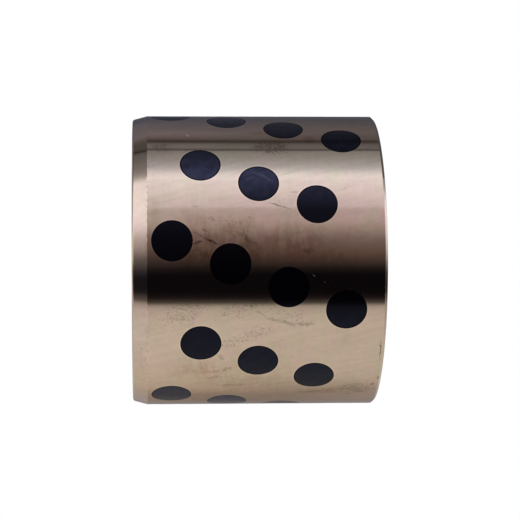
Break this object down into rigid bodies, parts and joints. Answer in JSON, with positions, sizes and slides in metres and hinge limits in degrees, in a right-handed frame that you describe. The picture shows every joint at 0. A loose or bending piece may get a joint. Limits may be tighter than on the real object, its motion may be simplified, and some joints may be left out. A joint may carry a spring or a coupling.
{
  "type": "graphite plugged bushing",
  "caption": "Plain cylindrical bronze sleeve bearing with slanting rows of solid graphite plugs through its wall for dry lubrication, and a long lead-in chamfer at one end.",
  "frame": {"origin": "on the bore axis, in the plane of the plain end, which it stands on", "axes": "+Z along the bore axis, from the plain end to the end with the lead-in chamfer; -Y is the side that the picture shows"},
  "size_m": [0.06, 0.06, 0.0498],
  "materials": {
    "bronze": "polished",
    "graphite": "satin"
  },
  "bodies": {
    "root": {"bronze_sleeve": "bronze", "plug_ring1_1": "graphite", "plug_ring1_2": "graphite", "plug_ring1_3": "graphite", "plug_ring1_4": "graphite", "plug_ring1_5": "graphite", "plug_ring2_1": "graphite", "plug_ring2_2": "graphite", "plug_ring2_3": "graphite", "plug_ring2_4": "graphite", "plug_ring2_5": "graphite", "plug_ring3_1": "graphite", "plug_ring3_2": "graphite", "plug_ring3_3": "graphite", "plug_ring3_4": "graphite", "plug_ring3_5": "graphite", "plug_ring4_1": "graphite", "plug_ring4_2": "graphite", "plug_ring4_3": "graphite", "plug_ring4_4": "graphite", "plug_ring4_5": "graphite", "plug_ring5_1": "graphite", "plug_ring5_2": "graphite", "plug_ring5_3": "graphite", "plug_ring5_4": "graphite", "plug_ring5_5": "graphite", "plug_ring6_1": "graphite", "plug_ring6_2": "graphite", "plug_ring6_3": "graphite", "plug_ring6_4": "graphite", "plug_ring6_5": "graphite", "plug_ring7_1": "graphite", "plug_ring7_2": "graphite", "plug_ring7_3": "graphite", "plug_ring7_4": "graphite", "plug_ring7_5": "graphite"}
  },
  "joints": []
}
